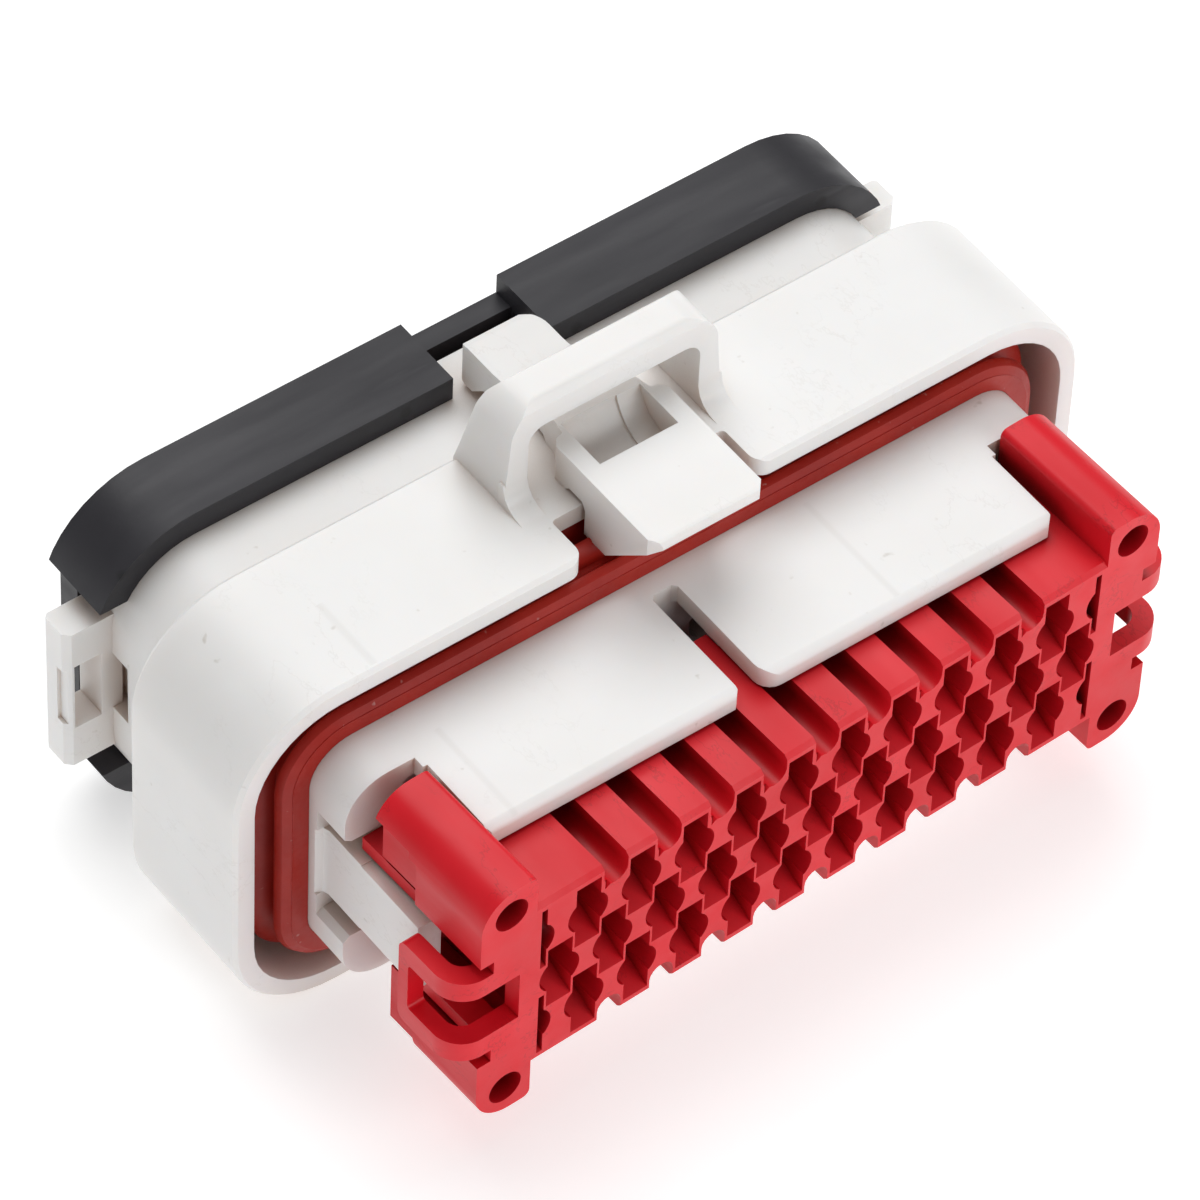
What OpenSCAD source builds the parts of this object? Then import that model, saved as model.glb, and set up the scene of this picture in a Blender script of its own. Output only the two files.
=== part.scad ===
// Sealed rectangular cable plug, 35 ways, five moulded pieces.
// Millimetres, +Z up, long axis along X. The mating face looks along -Y,
// the wires leave along +Y. The middle of the bounding box floor is the origin.

/* [Contact grid] */
// distance between neighbouring contact cavities
pitch = 4; // [3.8:0.05:4.1]
// width of the eight-sided contact cavities in the housing, across the flats
bore_d = 2.9; // [2.4:0.1:3.0]
// diameter of the wire holes in the rear cap
wire_d = 2.6; // [1.6:0.1:2.8]

/* [Shroud] */
// outer width of the shroud
shroud_w = 63.2; // [61:0.1:66]
// outer height of the shroud
shroud_h = 27.14; // [26.8:0.02:29]
// wall thickness of the shroud
shroud_t = 1.4; // [1.2:0.05:1.6]
// outer corner radius of the shroud
shroud_r = 7.5; // [6:0.1:9]
// half width of the latch notch
notch_w = 6.4; // [5.4:0.1:7]

/* [Latch] */
// half width of the guard arch at its feet
arch_w = 8.1; // [7.6:0.1:9]
// height of the arch top above the middle pin row
arch_z = 20.95; // [20.3:0.05:22]
// half width of the latch hook
hook_w = 4.18; // [3.6:0.02:4.6]
// half width of the thumb pad
pad_w = 2.6; // [2:0.1:3.2]

/* [Rear body and cap] */
// half width of the rear body
rear_w = 28.1; // [27.6:0.1:28.1]
// half height of the rear body
rear_h = 10.3; // [9.8:0.1:10.3]
// thickness of the cap skirt
skirt_t = 1.8; // [1.4:0.1:2]
// half width of the gap between the two cap bars
gap_w = 3.6; // [3:0.1:4.4]

/* [Wedge lock] */
// half height of the wedge block
wedge_h = 7.3; // [6.9:0.05:7.3]
// depth of the wedge block
wedge_d = 10.3; // [8:0.1:10.3]
// diameter of the pull holes in the corner posts
post_d = 2.4; // [1.6:0.1:2.6]
// angle at which the loose wedge stands in its guides
wedge_skew = 2.1; // [0:0.1:2.1]

/* [Hidden] */
e = 0.01;
sw = shroud_w/2;
sh = shroud_h/2;
yf = 14.95;       // front rim of the shroud
yr = 25.9;        // rear step of the shroud
yend = 37.4;      // rear face of the cap
ypiv = 15;        // depth at which the wedge is guided
yfront = ypiv - 26*sin(wedge_skew) - ypiv*cos(wedge_skew);
ymid = (yend + yfront)/2;
body_w = 26.3;
body_h = 9.0;
ear_x = 31.45;
C_WHITE = [0.93, 0.92, 0.90];
C_RED = [0.85, 0.07, 0.11];
C_BRICK = [0.60, 0.11, 0.07];
C_MAT = [0.72, 0.24, 0.10];
C_BLACK = [0.13, 0.13, 0.14];

// cavity centres [x, z]: rows of 12, 11 and 12
PINS = concat([for (i = [0:11]) [(i - 5.5)*pitch, pitch]],
              [for (i = [0:10]) [(i - 5)*pitch, 0]],
              [for (i = [0:11]) [(i - 5.5)*pitch, -pitch]]);

function arc(cx, cz, r, a0, a1, n) =
    [for (i = [0:n]) let (a = a0 + (a1 - a0)*i/n) [cx + r*cos(a), cz + r*sin(a)]];
// rounded rectangle, half sizes w and h
function rr(w, h, r, n = 10) = concat(
    arc(w - r, h - r, r, 0, 90, n), arc(-w + r, h - r, r, 90, 180, n),
    arc(-w + r, -h + r, r, 180, 270, n), arc(w - r, -h + r, r, 270, 360, n));

// x-z profile pushed from y0 to y1
module slab(y0, y1) translate([0, y1, 0]) rotate([90, 0, 0]) linear_extrude(y1 - y0) children();
// y-z profile pushed from x0 to x1
module side(x0, x1) translate([x0, 0, 0]) rotate([90, 0, 90]) linear_extrude(x1 - x0) children();
// x-y profile pushed from z0 to z1
module plan(z0, z1) translate([0, 0, z0]) linear_extrude(z1 - z0) children();
module yoct(x, z, w, y0, y1) slab(y0, y1)
    polygon([for (k = [0:7]) [x + w/2/cos(22.5)*cos(45*k + 22.5), z + w/2/cos(22.5)*sin(45*k + 22.5)]]);
module ybore(x, z, d, y0, y1, fn = 24) translate([x, y1, z]) rotate([90, 0, 0]) cylinder(d = d, h = y1 - y0, $fn = fn);
module box(x0, x1, y0, y1, z0, z1) translate([x0, y0, z0]) cube([x1 - x0, y1 - y0, z1 - z0]);
module place() translate([0, -ymid, sh]) children();

// ---------------------------------------------------------------- housing
module shroud_skin() {
    hull() {
        slab(yf, yf + 0.1) polygon(rr(sw - 0.25, sh - 0.25, shroud_r - 0.25));
        slab(yf + 0.3, yr - 0.33) polygon(rr(sw, sh, shroud_r));
        slab(yr - 0.1, yr) polygon(rr(sw - 0.3, sh - 0.3, shroud_r - 0.3));
    }
}
module shroud() difference() {
    shroud_skin();
    slab(yf - 1, 23.9) polygon(rr(sw - shroud_t, sh - shroud_t, shroud_r - shroud_t));
    // latch notch in the top wall
    plan(sh - shroud_t - 0.5, sh + 1) polygon(concat(
        [[-notch_w - 1.2, yf - 1], [-notch_w - 1.2, yf - e]], arc(-notch_w - 1, yf + 1, 1, 270, 360, 6),
        arc(-notch_w + 0.3, 18.1, 0.3, 180, 90, 3), arc(notch_w - 0.3, 18.1, 0.3, 90, 0, 3),
        arc(notch_w + 1, yf + 1, 1, 180, 270, 6), [[notch_w + 1.2, yf - e], [notch_w + 1.2, yf - 1]]));
}
module inner_body() difference() {
    union() {
        slab(10.5, yr) polygon(rr(body_w, body_h, 3));
        slab(20.3, 24.2) polygon(rr(27.5, 10.0, 4));
        slab(yr - 0.5, 35.05) polygon(rr(rear_w, rear_h, 5.5));
        // long tongues above and below the wedge
        plan(7.5, 9.0) polygon([[-21.05, 4.75], [-20.75, 4.45], [-2.95, 4.45], [-2.65, 4.75],
            [-2.65, 10.6], [-21.05, 10.6]]);
        plan(7.5, 9.0) polygon(concat(arc(0.45, 5.65, 1.2, 180, 270, 5), [[20.65, 4.45], [21.05, 4.85],
            [21.05, 10.6], [-0.75, 10.6]]));
        plan(-9.0, -7.5) polygon([[-21.05, 4.75], [-20.75, 4.45], [20.75, 4.45], [21.05, 4.75],
            [21.05, 10.6], [-21.05, 10.6]]);
        // side rails with a low catch
        for (s = [-1, 1]) {
            box(s > 0 ? 24.0 : -25.7, s > 0 ? 25.7 : -24.0, 4.8, 10.6, -2.87, 2.87);
            side(s > 0 ? 25.6 : -26.0, s > 0 ? 26.0 : -25.6)
                polygon([[4.9, -1.6], [5.35, -1.6], [5.35, 1.6], [4.9, 1.6]]);
        }
    }
    // rounded front edges of the tongues
    for (t = [0, 1]) mirror([0, 0, t]) side(-21.3, 21.3)
        polygon([[4.0, 8.35], [4.45, 8.35], [4.5, 8.6], [4.68, 8.83], [4.95, 8.98], [5.1, 9.0], [5.1, 9.3], [4.0, 9.3]]);
    // hollow behind the wedge
    slab(10.4, 13.4) polygon(rr(22.2, 7.55, 0.6, 3));
    // keyway in the upper tongue
    plan(7.4, 9.2) polygon([[-2.65, 4], [-0.75, 4], [-0.75, 13.1], [-1.05, 13.4], [-2.35, 13.4], [-2.65, 13.1]]);
    for (s = [0, 1]) mirror([s, 0, 0]) {
        for (t = [0, 1]) mirror([0, 0, t]) {
            // seat behind each corner post
            box(21.35, 27, 10.4, 11.35, 4.4, 9.2);
            // guide slots above and below the side rail, flared at the mouth
            slab(10.4, 14.1) polygon([[22.9, 2.95], [27, 2.95], [27, 5.2], [26.35, 4.85], [25.8, 4.45], [22.9, 4.4]]);
        }
        // the rail lies lower than the side wall
        plan(-3, 3) polygon([[25.7, 10.4], [27, 10.4], [27, 14.3], [26.3, 14.3], [25.85, 14.1], [25.7, 13.7]]);
    }
    // contact cavities and the pocket for the wire seal
    for (p = PINS) yoct(p[0], p[1], bore_d, 13.3, 27.4);
    slab(27.2, 35.2) polygon(rr(26.0, 8.3, 3.6, 6));
    // side slots in front of the ears
    for (s = [-1, 1]) box(s > 0 ? 26.9 : -28.5, s > 0 ? 28.5 : -26.9, 31.1, 33.3, -2.5, 2.5);
}
module ears() for (s = [-1, 1]) mirror([s > 0 ? 0 : 1, 0, 0]) difference() {
    plan(-6, 6) polygon([[27.4, 32.7], [31.0, 32.7], [31.45, 33.15], [31.45, 34.8], [31.2, 35.05], [27.4, 35.05]]);
    box(28.9, 30.85, 32.6, 35.2, -2.6, 3.0);
    box(31.2, 31.6, 32.6, 33.7, -2.2, 2.6);
}
module arch() difference() {
    slab(20.9, yr) polygon(concat(
        [[-arch_w, sh - 0.3]], arc(-arch_w + 2.75, arch_z - 2.3, 2.3, 180, 90, 8),
        arc(arch_w - 2.75, arch_z - 2.3, 2.3, 90, 0, 8), [[arch_w, sh - 0.3]],
        [[6.35, sh - 0.3]], arc(5.15, 17.9, 1.2, 0, 90, 5), arc(-5.15, 17.9, 1.2, 90, 180, 5),
        [[-6.35, sh - 0.3]]));
    // sloping back and rounded front edge
    side(-12, 12) polygon([[yr, sh], [25.55, 14.8], [24.25, 20.2], [23.95, arch_z - 0.25], [23.7, arch_z + e],
        [23.7, 24], [27, 24], [27, sh]]);
    side(-12, 12) polygon([[20.8, arch_z - 1.0], [20.9, arch_z - 1.0], [21.05, arch_z - 0.45], [21.45, arch_z - 0.1],
        [21.9, arch_z], [21.9, 22.5], [20.8, 22.5]]);
}
module arch_feet() for (s = [-1, 1]) mirror([s > 0 ? 0 : 1, 0, 0])
    side(6.35, arch_w) polygon([[18.9, sh - 0.2], [18.9, sh], [19.7, sh + 0.1], [20.3, sh + 0.4],
        [20.7, sh + 0.9], [20.95, sh + 1.8], [21.4, sh + 1.8], [21.4, sh - 0.2]]);
module lever() difference() {
    intersection() {
        side(-6, 6) polygon([[11.3, 15.7], [11.3, 16.0], [11.45, 16.28], [11.75, 16.4], [22.6, 16.4], [24.2, 16.05],
            [26.4, 14.9], [28.0, 14.35], [29.4, 14.2], [32.0, 14.2], [32.6, 14.0], [32.95, 13.5],
            [33.0, 12.8], [32.9, 10.9], [31.4, 10.9], [30.3, 11.9], [28.4, 12.5], [27.0, 13.3], [26.2, 13.95],
            [24.0, 13.95], [23.3, 13.4], [20.2, 13.4], [19.6, 13.95], [18.35, 13.95], [18.0, 13.4], [18.0, 11.4],
            [15.9, 11.4]]);
        plan(10, 18) polygon(concat(
            [[-hook_w, 12.0], [-hook_w + 0.7, 11.2], [hook_w - 0.7, 11.2], [hook_w, 12.0]],
            [[hook_w, 21.0], [hook_w - 0.35, 21.5], [3.25, 21.7], [3.0, 23.0], [pad_w, 26.0]],
            arc(pad_w - 2.2, 30.8, 2.2, 0, 90, 10), arc(-pad_w + 0.8, 32.2, 0.8, 90, 180, 5),
            [[-pad_w, 26.0], [-3.0, 23.0], [-3.25, 21.7], [-hook_w + 0.35, 21.5], [-hook_w, 21.0]]));
    }
    // window with its hollow rear ramp
    side(-2.9, 2.9) polygon([[18.4, 16.9], [18.4, 13.2], [19.2, 14.0], [20.3, 14.25], [21.2, 14.75], [21.75, 15.4],
        [22.1, 16.0], [22.4, 16.9]]);
    // raised land on the ramp
    side(-2.9, 1.2) polygon([[18.9, 14.2], [19.1, 13.9], [20.35, 14.1], [21.3, 14.6], [21.9, 15.3], [22.3, 16.0],
        [22.3, 16.9], [18.9, 16.9]]);
}
module plug_housing() color(C_WHITE) place() union() {
    shroud();
    inner_body();
    ears();
    arch();
    arch_feet();
    lever();
}

// ---------------------------------------------------------------- wedge lock
module lobe(cx, cz, w = 0.925, h = 2.63, r = 1.5) {
    // slot with a round swelling at its middle
    a = asin(w/r);
    polygon(concat([[cx + w, cz + h]], [[cx - w, cz + h]], arc(cx, cz, r, 90 + a, 270 - a, 8),
        [[cx - w, cz - h]], [[cx + w, cz - h]], arc(cx, cz, r, -90 + a, 90 - a, 8)));
}
module grooves(s) for (i = [-4:4]) slab(-1, wedge_d + 1)
    polygon(concat([[i*pitch + 0.9, s*(wedge_h + 1)]],
        [for (k = [0:8]) let (a = 180*k/8) [i*pitch + 0.9*cos(a), s*(wedge_h - 1.0 - 0.9*sin(a))]],
        [[i*pitch - 0.9, s*(wedge_h + 1)]]));
module post(s, t) mirror([s > 0 ? 0 : 1, 0, 0]) mirror([0, 0, t > 0 ? 0 : 1]) {
    difference() {
        slab(0, t > 0 ? 10.2 : 9.2) polygon(concat([[21.5, 4.66], [26.0, 4.66]], arc(23.4, 7.6, 2.6, 0, 90, 14),
            arc(22.4, 9.7, 0.5, 90, 180, 4), [[21.9, 7.0], [21.5, 7.0]]));
        ybore(23.8, 8.1, post_d, -1, 8, 28);
        // side flat at the rear end
        if (t > 0) {
            plan(4.5, 8.1) polygon([[25.25, 10.4], [25.25, 7.0], [25.35, 6.6], [25.7, 6.25], [26.5, 6.05], [27, 6.05], [27, 10.4]]);
            plan(8.0, 8.5) polygon([[25.5, 10.4], [25.5, 7.3], [26.5, 6.5], [27, 6.5], [27, 10.4]]);
        } else {
            plan(4.5, 11) polygon([[25.2, 10.4], [25.2, 6.6], [25.45, 6.15], [27, 6.0], [27, 10.4]]);
            side(21, 27) polygon([[6.3, 10.4], [6.6, 9.5], [10.4, 9.5], [10.4, 10.4]]);
        }
    }
    // guide finger beside the rail
    box(23.2, 25.1, 1.0, 12.3, 3.15, 4.2);
}
module loop_bar(s) mirror([s > 0 ? 0 : 1, 0, 0]) {
    // bent strip with a window through it
    intersection() {
        plan(-3.6, 3.6) polygon(concat([[21.5, 0]], arc(25.65, 2.1, 2.1, -90, 0, 10), [[27.75, 5.4], [26.55, 5.4]],
            arc(25.45, 2.4, 1.1, 0, -90, 6), [[21.5, 1.3]]));
        side(21, 28) difference() {
            polygon(concat([[-1, -3.6]], arc(4.7, -2.9, 0.7, -90, 0, 4), arc(4.7, 2.9, 0.7, 0, 90, 4), [[-1, 3.6]]));
            polygon(concat([[-2, -2.0]], arc(4.2, -1.7, 0.3, -90, 0, 3), arc(4.2, 1.7, 0.3, 0, 90, 3), [[-2, 2.0]]));
        }
    }
    // web that ties the bars to the posts, front only
    box(21.5, 25.0, 0, 1.3, 3.1, 4.9);
    box(21.5, 25.0, 0, 1.3, -4.9, -3.1);
    box(21.5, 23.0, 0, 1.3, -3.7, 3.7);
}
module wedge_lock() color(C_RED) place() translate([0, ypiv, 0]) rotate([0, 0, wedge_skew]) translate([0, -ypiv, 0]) union() {
    difference() {
        union() {
            side(-21.9, 21.9) polygon([[0, -wedge_h + 0.3], [0.3, -wedge_h], [wedge_d, -wedge_h], [wedge_d, wedge_h],
                [0.3, wedge_h], [0, wedge_h - 0.3]]);
            // tongues that reach between the contact rows
            for (z = [-2.3, 1.7]) box(-21.2, 21.2, wedge_d - 0.1, 12.2, z, z + 0.6);
        }
        grooves(1);
        grooves(-1);
        for (p = PINS) {
            slab(-1, 7.5) difference() {
                lobe(p[0], p[1]);
                translate([p[0] - 2, p[1] - 2.7]) square([4, 1.6]);
            }
            side(p[0] - 0.925, p[0] + 0.925)
                polygon([[-1, p[1] - 1.05], [-1, p[1] - 2.63], [0, p[1] - 2.63], [2.6, p[1] - 1.35], [2.6, p[1] - 1.05]]);
            yoct(p[0], p[1], 2.3, 7.4, 14);
        }
        // small pips beside the grooves
        for (i = [-4:4]) slab(-1, 0.35) polygon([[i*pitch - 0.78, 6.3], [i*pitch - 0.3, 5.55], [i*pitch - 0.78, 5.2]]);
    }
    for (s = [-1, 1], t = [-1, 1]) post(s, t);
    for (s = [-1, 1]) loop_bar(s);
}

// ---------------------------------------------------------------- seals
module rib(y, g = 0) hull() {
    slab(y - 0.75, y - 0.73) polygon(rr(27.4, 10.05, 4.05, 12));
    slab(y - 0.45, y - 0.43) polygon(rr(28.05 + g*0.75, 10.62 + g*0.75, 4.65 + g*0.75, 12));
    slab(y - 0.1, y + 0.1) polygon(rr(28.25 + g, 10.8 + g, 4.8 + g, 12));
    slab(y + 0.68, y + 0.7) polygon(rr(27.4, 10.05, 4.05, 12));
}
module interface_seal() color(C_BRICK) place() difference() {
    union() {
        slab(14.9, 20.2) polygon(rr(27.5, 10.15, 4.15));
        rib(15.65);
        rib(17.4, 0.75);
        rib(19.2, 0.75);
    }
    slab(14, 21) polygon(rr(body_w + 0.03, body_h + 0.03, 3.03));
}
module wire_seal() color(C_MAT) place() difference() {
    union() {
        slab(27.3, 33.1) polygon(rr(25.6, 7.9, 3.2, 6));
        for (y = [28.3, 30.2, 32.1]) slab(y - 0.25, y + 0.25) polygon(rr(25.97, 8.27, 3.57, 6));
    }
    for (p = PINS) {
        ybore(p[0], p[1], 2.2, 26, 28.4, 16);
        ybore(p[0], p[1], 1.5, 28.3, 31.9, 16);
        ybore(p[0], p[1], 2.2, 31.8, 34, 16);
    }
}

// ---------------------------------------------------------------- rear cap
module rear_cap() color(C_BLACK) place() difference() {
    union() {
        difference() {
            slab(32.0, yend) polygon(rr(rear_w + skirt_t + 0.02, rear_h + skirt_t + 0.05, 7.35));
            slab(31, 35.6) polygon(rr(rear_w + 0.03, rear_h + 0.04, 5.55));
            slab(35.5, 38) polygon(rr(rear_w - 0.6, rear_h - 0.6, 5));
            // sides open for the ears
            box(-33, 33, 31, 35.6, -7.45, 7.45);
            box(rear_w + 0.5, 33, 31, 38, -7.45, 7.45);
            box(-33, -rear_w - 0.5, 31, 38, -7.45, 7.45);
            // gap between the bars, bridged low at the rear
            for (s = [-1, 1]) box(-gap_w, gap_w, 31, 38, s > 0 ? rear_h + 0.3 : -14, s > 0 ? 14 : -rear_h - 0.3);
            box(-gap_w, gap_w, 31, 35.9, -14, 14);
        }
        slab(35.9, 37.1) polygon(rr(rear_w - 0.4, rear_h - 0.4, 5.2));
        // plug that presses on the wire seal
        slab(33.3, 36.5) polygon(rr(25.8, 8.1, 3.4, 6));
    }
    for (p = PINS) {
        ybore(p[0], p[1], wire_d, 33, 38, 20);
        ybore(p[0], p[1], wire_d + 0.7, 36.6, 38, 20);
    }
}

plug_housing();
wedge_lock();
interface_seal();
wire_seal();
rear_cap();
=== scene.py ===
import bpy
import bmesh
import math
from mathutils import Vector, Matrix

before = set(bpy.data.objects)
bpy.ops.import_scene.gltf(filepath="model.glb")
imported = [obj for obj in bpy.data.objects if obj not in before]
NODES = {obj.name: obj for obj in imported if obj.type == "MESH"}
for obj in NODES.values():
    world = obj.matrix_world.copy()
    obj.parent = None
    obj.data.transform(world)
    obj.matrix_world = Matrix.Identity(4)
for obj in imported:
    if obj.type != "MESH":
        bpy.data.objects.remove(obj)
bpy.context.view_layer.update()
MM = 0.001
# the CAD source works around the middle pin row; these put its numbers in the row frame
Y0, Z0 = -18.2287, 13.57


def P(x, y, z):
    """A point given in the CAD source's own millimetres, in the row frame in metres."""
    return Vector((x * MM, (y + Y0) * MM, (z + Z0) * MM))


# ------------------------------------------------------------------ materials
def new_mat(name):
    m = bpy.data.materials.new(name)
    m.use_nodes = True
    nt = m.node_tree
    return m, nt, nt.nodes["Principled BSDF"]


def noise(nt, vec, scale, detail=4.0, rough=0.5, loc=(0, 0, 0), stretch=(1, 1, 1)):
    mp = nt.nodes.new("ShaderNodeMapping")
    mp.inputs["Location"].default_value = loc
    mp.inputs["Scale"].default_value = stretch
    nt.links.new(vec, mp.inputs["Vector"])
    n = nt.nodes.new("ShaderNodeTexNoise")
    n.inputs["Scale"].default_value = scale
    n.inputs["Detail"].default_value = detail
    n.inputs["Roughness"].default_value = rough
    nt.links.new(mp.outputs["Vector"], n.inputs["Vector"])
    return n.outputs["Fac"]


def ramp(nt, fac, stops):
    r = nt.nodes.new("ShaderNodeValToRGB")
    els = r.color_ramp.elements
    els[0].position, els[0].color = stops[0][0], tuple(stops[0][1]) + (1,)
    els[1].position, els[1].color = stops[-1][0], tuple(stops[-1][1]) + (1,)
    for p, c in stops[1:-1]:
        e = els.new(p)
        e.color = tuple(c) + (1,)
    nt.links.new(fac, r.inputs["Fac"])
    return r.outputs["Color"]


def mix(nt, fac, a, b, kind="MIX"):
    m = nt.nodes.new("ShaderNodeMix")
    m.data_type = "RGBA"
    m.blend_type = kind
    for sock, v in (("Factor", fac), ("A", a), ("B", b)):
        s = [i for i in m.inputs if i.name == sock and (i.type == ("VALUE" if sock == "Factor" else "RGBA"))][0]
        if isinstance(v, bpy.types.NodeSocket):
            nt.links.new(v, s)
        elif sock == "Factor":
            s.default_value = v
        else:
            s.default_value = tuple(v) + (1,)
    return [o for o in m.outputs if o.type == "RGBA"][0]


def span(nt, fac, lo, hi, f0=0.0, f1=1.0):
    r = nt.nodes.new("ShaderNodeMapRange")
    r.inputs["From Min"].default_value = f0
    r.inputs["From Max"].default_value = f1
    r.inputs["To Min"].default_value = lo
    r.inputs["To Max"].default_value = hi
    nt.links.new(fac, r.inputs["Value"])
    return r.outputs["Result"]


def bumps(nt, bsdf, layers):
    """layers: (height socket, distance in metres, strength)"""
    last = None
    for h, dist, strength in layers:
        b = nt.nodes.new("ShaderNodeBump")
        b.inputs["Distance"].default_value = dist
        b.inputs["Strength"].default_value = strength
        nt.links.new(h, b.inputs["Height"])
        if last is not None:
            nt.links.new(last, b.inputs["Normal"])
        last = b.outputs["Normal"]
    nt.links.new(last, bsdf.inputs["Normal"])


def coords(nt):
    return nt.nodes.new("ShaderNodeTexCoord").outputs["Object"]


# ambient occlusion factor; both plastics use it to paint shade into their crevices, gaps and recesses
def crevice(nt, dist):
    ao = nt.nodes.new("ShaderNodeAmbientOcclusion")
    ao.inputs["Distance"].default_value = dist
    ao.samples = 8
    return ao.outputs["AO"]


def spot(nt, vec, at, r0, r1):
    """1 within r0 of a point on the object, fading to 0 at r1."""
    d = nt.nodes.new("ShaderNodeVectorMath")
    d.operation = "DISTANCE"
    nt.links.new(vec, d.inputs[0])
    d.inputs[1].default_value = at
    return span(nt, d.outputs["Value"], 1.0, 0.0, r0, r1)


def line_x(nt, vec, x, half, y0, y1, zmin):
    """A faint painted shadow line along Y at one x, from y0 to y1, on faces above zmin."""
    sp = nt.nodes.new("ShaderNodeSeparateXYZ")
    nt.links.new(vec, sp.inputs[0])

    def op(kind, a, b):
        n = nt.nodes.new("ShaderNodeMath")
        n.operation = kind
        for i, q in enumerate((a, b)):
            if isinstance(q, bpy.types.NodeSocket):
                nt.links.new(q, n.inputs[i])
            elif q is not None:
                n.inputs[i].default_value = q
        return n.outputs[0]

    near = span(nt, op("ABSOLUTE", op("SUBTRACT", sp.outputs["X"], x * MM), None), 1.0, 0.0, half * MM * 0.3, half * MM)
    inside = op("MULTIPLY", op("GREATER_THAN", sp.outputs["Y"], (y0 + Y0) * MM), op("LESS_THAN", sp.outputs["Y"], (y1 + Y0) * MM))
    return op("MULTIPLY", op("MULTIPLY", near, inside), op("GREATER_THAN", sp.outputs["Z"], (zmin + Z0) * MM))


def scratches(nt, vec, scale, width, stretch=(1, 1, 1), loc=(0, 0, 0)):
    """Thin wandering lines: where a soft noise crosses its middle value, inside patches of a second noise."""
    a = noise(nt, vec, scale, 5, 0.6, loc, stretch)
    m = nt.nodes.new("ShaderNodeMath")
    m.operation = "SUBTRACT"
    m.inputs[1].default_value = 0.5
    nt.links.new(a, m.inputs[0])
    m2 = nt.nodes.new("ShaderNodeMath")
    m2.operation = "ABSOLUTE"
    nt.links.new(m.outputs[0], m2.inputs[0])
    thin = span(nt, m2.outputs[0], 1.0, 0.0, 0.0, width)
    patch = span(nt, noise(nt, vec, scale * 0.35, 2, 0.5, (loc[0] + 4, loc[1], loc[2])), 0.0, 1.0, 0.50, 0.62)
    m3 = nt.nodes.new("ShaderNodeMath")
    m3.operation = "MULTIPLY"
    nt.links.new(thin, m3.inputs[0])
    nt.links.new(patch, m3.inputs[1])
    return m3.outputs[0]


def plastic_white():
    m, nt, b = new_mat("housing_white")
    v = coords(nt)
    cloud = noise(nt, v, 90, 3)
    flow = noise(nt, v, 260, 3, stretch=(1.0, 0.12, 1.0))
    fine = noise(nt, v, 2600, 4, 0.6)
    speck = noise(nt, v, 900, 2, loc=(3, 1, 7))
    base = ramp(nt, cloud, [(0.3, (0.80, 0.79, 0.775)), (0.7, (0.87, 0.865, 0.86))])
    base = mix(nt, span(nt, flow, 0.0, 0.35), base, (0.82, 0.80, 0.78))
    # painted shade: ambient occlusion darkens the corners, gaps and recesses and tints them tan, standing in for shadow
    # and light seen through the plastic
    crevice_shade_white = ramp(nt, crevice(nt, 0.0035), [(0.0, (0.60, 0.45, 0.36)), (0.35, (0.80, 0.72, 0.67)), (0.75, (0.97, 0.96, 0.95)), (1.0, (1, 1, 1))])
    base = mix(nt, 1.0, base, crevice_shade_white, "MULTIPLY")
    dust = ramp(nt, speck, [(0.73, (1, 1, 1)), (0.80, (0.80, 0.78, 0.75))])
    base = mix(nt, 1.0, base, dust, "MULTIPLY")
    # painted shadow: faint dark lines along Y on the top faces
    for x, half, y0, y1, zmin in ((-19.0, 0.30, 4.6, 12.4, 8.6), (-21.4, 0.35, 15.4, 21.0, 13.0), (9.5, 0.30, 5.0, 14.0, 8.6)):
        base = mix(nt, span(nt, line_x(nt, v, x, half, y0, y1, zmin), 0.0, 0.30), base, (0.68, 0.66, 0.64))
    marks = scratches(nt, v, 300, 0.010, (1, 0.5, 1))
    base = mix(nt, span(nt, marks, 0.0, 0.22), base, (0.60, 0.57, 0.54))
    nt.links.new(base, b.inputs["Base Color"])
    nt.links.new(span(nt, cloud, 0.34, 0.50, 0.3, 0.7), b.inputs["Roughness"])
    b.inputs["Subsurface Weight"].default_value = 0.30
    b.inputs["Subsurface Radius"].default_value = (1.0, 0.80, 0.66)
    b.inputs["Subsurface Scale"].default_value = 0.0016
    b.inputs["IOR"].default_value = 1.5
    bumps(nt, b, [(cloud, 0.00012, 0.25), (flow, 0.00003, 0.5), (fine, 0.000008, 0.5)])
    return m


def plastic_red():
    m, nt, b = new_mat("wedge_red")
    v = coords(nt)
    cloud = noise(nt, v, 130, 3)
    fine = noise(nt, v, 3200, 4, 0.6)
    smear = noise(nt, v, 420, 3, stretch=(1.0, 0.2, 1.0))
    base = ramp(nt, cloud, [(0.3, (0.62, 0.006, 0.014)), (0.7, (0.74, 0.010, 0.022))])
    # painted shade: ambient occlusion darkens the grooves, cavities and holes of the wedge, near black deepest in
    crevice_shade_red = ramp(nt, crevice(nt, 0.0035), [(0.0, (0.05, 0.01, 0.01)), (0.20, (0.40, 0.12, 0.16)), (0.55, (0.95, 0.88, 0.88)), (1.0, (1, 1, 1))])
    base = mix(nt, 1.0, base, crevice_shade_red, "MULTIPLY")
    worn = scratches(nt, v, 520, 0.014, (1.0, 0.45, 1.0), (2, 6, 1))
    base = mix(nt, span(nt, worn, 0.0, 0.55), base, (0.36, 0.003, 0.008))
    nt.links.new(base, b.inputs["Base Color"])
    nt.links.new(span(nt, smear, 0.28, 0.50, 0.3, 0.7), b.inputs["Roughness"])
    b.inputs["Specular IOR Level"].default_value = 0.30
    b.inputs["Subsurface Weight"].default_value = 0.04
    b.inputs["Subsurface Radius"].default_value = (1.0, 0.15, 0.1)
    b.inputs["Subsurface Scale"].default_value = 0.0008
    bumps(nt, b, [(cloud, 0.0001, 0.3), (smear, 0.00004, 0.4), (fine, 0.000008, 0.5)])
    return m


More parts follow.
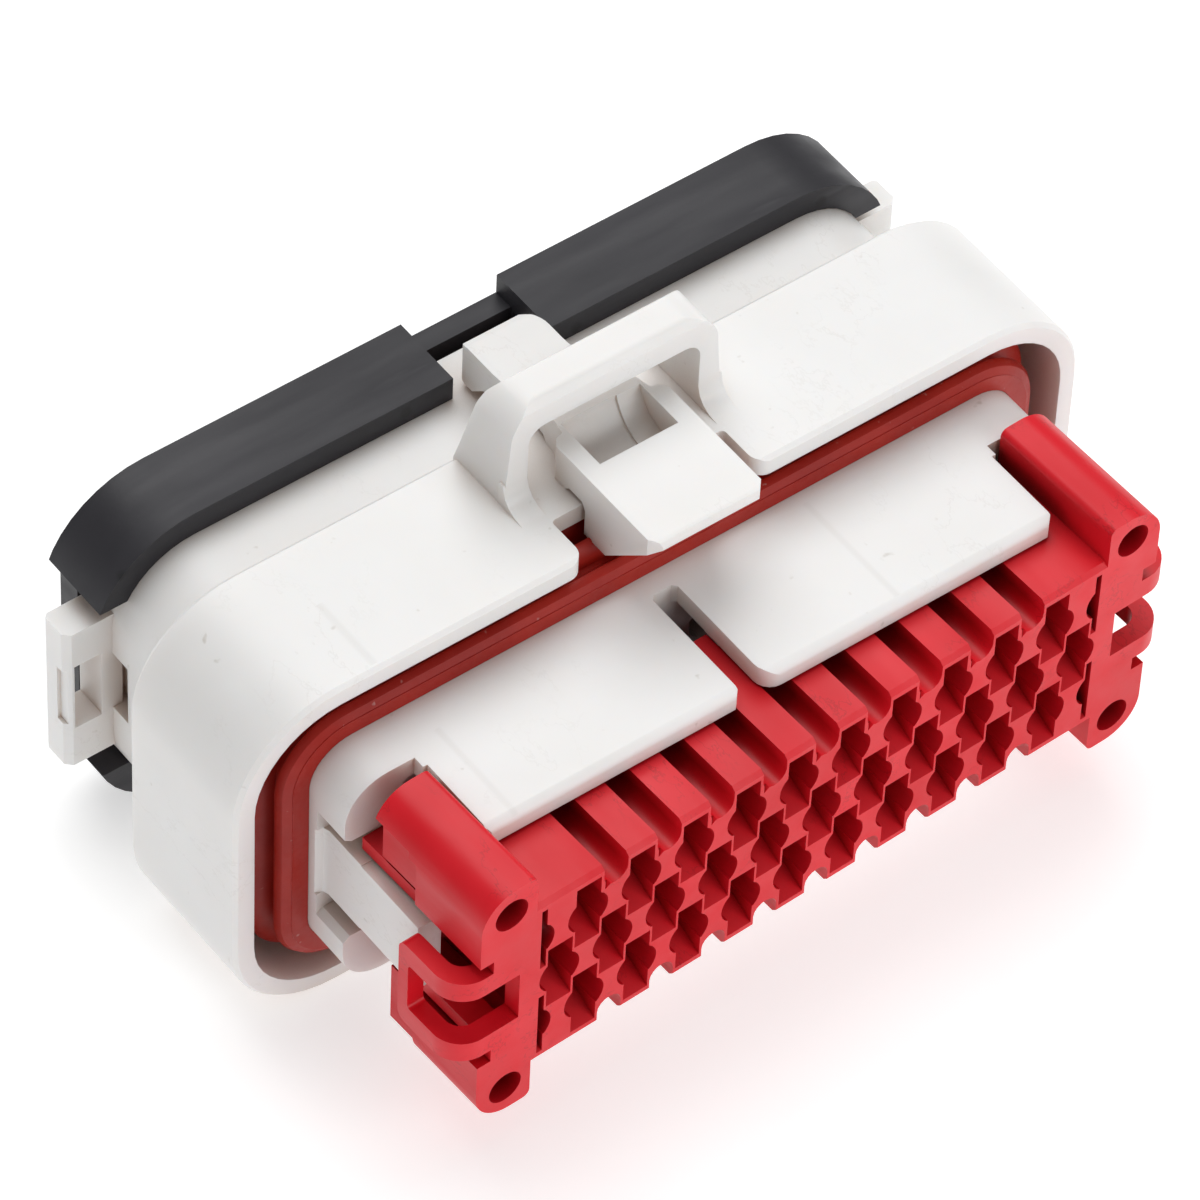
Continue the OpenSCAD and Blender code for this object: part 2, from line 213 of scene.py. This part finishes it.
def silicone(name, lo, hi):
    m, nt, b = new_mat(name)
    v = coords(nt)
    cloud = noise(nt, v, 220, 4)
    fine = noise(nt, v, 1800, 5, 0.65)
    lint = noise(nt, v, 1500, 2, loc=(5, 2, 1))
    base = ramp(nt, cloud, [(0.3, lo), (0.7, hi)])
    pale = ramp(nt, lint, [(0.70, (0, 0, 0)), (0.78, (1, 1, 1))])
    base = mix(nt, span(nt, pale, 0.0, 0.35), base, (0.55, 0.42, 0.38))
    nt.links.new(base, b.inputs["Base Color"])
    nt.links.new(span(nt, fine, 0.30, 0.52, 0.3, 0.7), b.inputs["Roughness"])
    b.inputs["Specular IOR Level"].default_value = 0.28
    b.inputs["Subsurface Weight"].default_value = 0.08
    b.inputs["Subsurface Radius"].default_value = (1.0, 0.2, 0.1)
    b.inputs["Subsurface Scale"].default_value = 0.0006
    bumps(nt, b, [(cloud, 0.00008, 0.4), (fine, 0.00001, 0.6)])
    return m


def plastic_black():
    m, nt, b = new_mat("cap_black")
    v = coords(nt)
    cloud = noise(nt, v, 110, 3)
    fine = noise(nt, v, 3000, 4, 0.6)
    scuff = noise(nt, v, 500, 4, stretch=(0.15, 1.0, 1.0))
    base = ramp(nt, cloud, [(0.3, (0.016, 0.015, 0.019)), (0.7, (0.023, 0.022, 0.027))])
    pale = ramp(nt, scuff, [(0.66, (0, 0, 0)), (0.80, (1, 1, 1))])
    base = mix(nt, span(nt, pale, 0.0, 0.25), base, (0.14, 0.14, 0.145))
    for x, y, z in ((-7.1, 32.0, 11.3), (5.65, 32.0, 10.9), (24.5, 32.0, 10.7), (-28.0, 32.0, 10.1)):
        base = mix(nt, span(nt, spot(nt, v, P(x, y, z), 0.0003, 0.00055), 0.0, 0.75), base, (0.008, 0.008, 0.009))
    nt.links.new(base, b.inputs["Base Color"])
    nt.links.new(span(nt, scuff, 0.40, 0.58, 0.3, 0.7), b.inputs["Roughness"])
    b.inputs["Specular IOR Level"].default_value = 0.38
    bumps(nt, b, [(cloud, 0.0001, 0.3), (scuff, 0.00002, 0.4), (fine, 0.00001, 0.6)])
    return m


def dress(obj, mat):
    obj.data.materials.clear()
    obj.data.materials.append(mat)
    for p in obj.data.polygons:
        p.material_index = 0
    # shade the turned corners smooth and keep the flats flat
    obj.data.polygons.foreach_set("use_smooth", [True] * len(obj.data.polygons))
    wd = obj.modifiers.new("join", "WELD")
    wd.merge_threshold = 1e-6
    sp = obj.modifiers.new("corners", "EDGE_SPLIT")
    sp.split_angle = math.radians(31)
    sp.use_edge_sharp = False
    wn = obj.modifiers.new("flats", "WEIGHTED_NORMAL")
    wn.keep_sharp = True
    wn.mode = "FACE_AREA_WITH_ANGLE"
    wn.weight = 50


WHITE, RED, BLACK = plastic_white(), plastic_red(), plastic_black()
BRICK = silicone("seal_brick", (0.30, 0.010, 0.005), (0.40, 0.018, 0.009))
ORANGE = silicone("mat_orange", (0.42, 0.06, 0.02), (0.52, 0.09, 0.03))
dress(NODES["plug_housing"], WHITE)
dress(NODES["wedge_lock"], RED)
dress(NODES["interface_seal"], BRICK)
dress(NODES["wire_seal"], ORANGE)
dress(NODES["rear_cap"], BLACK)

# ------------------------------------------------------------------ floor, light, camera
def floor():
    me = bpy.data.meshes.new("floor")
    s = 1.2
    me.from_pydata([(-s, -s, 0), (s, -s, 0), (s, s, 0), (-s, s, 0)], [], [(0, 1, 2, 3)])
    o = bpy.data.objects.new("floor", me)
    bpy.context.scene.collection.objects.link(o)
    m, nt, b = new_mat("floor_pale")
    n = noise(nt, coords(nt), 40, 3)
    nt.links.new(ramp(nt, n, [(0.3, (0.73, 0.73, 0.73)), (0.7, (0.76, 0.76, 0.76))]), b.inputs["Base Color"])
    b.inputs["Roughness"].default_value = 0.9
    b.inputs["Specular IOR Level"].default_value = 0.1
    b.inputs["Emission Color"].default_value = (1, 1, 1, 1)
    b.inputs["Emission Strength"].default_value = 0.50
    o.data.materials.append(m)
    return o


FLOOR = floor()


def area(name, loc, target, size, power, color=(1, 1, 1)):
    ld = bpy.data.lights.new(name, "AREA")
    ld.shape = "RECTANGLE"
    ld.size, ld.size_y = size
    ld.energy = power
    ld.color = color
    o = bpy.data.objects.new(name, ld)
    bpy.context.scene.collection.objects.link(o)
    o.location = loc
    o.rotation_mode = "QUATERNION"
    o.rotation_quaternion = (Vector(target) - Vector(loc)).to_track_quat("-Z", "Y")
    return o


area("top_box", (0.10, 0.26, 0.58), (0, 0, 0.01), (0.60, 0.60), 3.1)
area("left_box", (-0.55, -0.05, 0.30), (0, 0, 0.01), (0.4, 0.4), 0.12)
area("front_box", (0.20, -0.60, 0.28), (0, 0, 0.01), (0.5, 0.35), 1.75)
w = bpy.data.worlds.new("world")
bpy.context.scene.world = w
w.use_nodes = True
w.node_tree.nodes["Background"].inputs["Color"].default_value = (1, 1, 1, 1)
w.node_tree.nodes["Background"].inputs["Strength"].default_value = 0.32
bpy.context.scene.view_settings.view_transform = "Standard"

AZ, EL, ROLL = math.radians(-38.95), math.radians(48.99), math.radians(2.96)
back = Vector((math.sin(AZ) * math.cos(EL), -math.cos(AZ) * math.cos(EL), math.sin(EL)))
right = Vector((math.cos(AZ), math.sin(AZ), 0))
up = back.cross(right)
r2 = math.cos(ROLL) * right + math.sin(ROLL) * up
u2 = -math.sin(ROLL) * right + math.cos(ROLL) * up
cd = bpy.data.cameras.new("camera")
cd.sensor_width = 36.0
cd.lens = 8379 / 1200 * 36.0
cd.clip_start, cd.clip_end = 0.01, 10
cam = bpy.data.objects.new("camera", cd)
bpy.context.scene.collection.objects.link(cam)
cam.matrix_world = Matrix.Translation(P(-210.32, -238.86, 384.22)) @ Matrix((
    (r2.x, u2.x, back.x, 0), (r2.y, u2.y, back.y, 0), (r2.z, u2.z, back.z, 0), (0, 0, 0, 1)))
bpy.context.scene.camera = cam

bpy.context.view_layer.update()
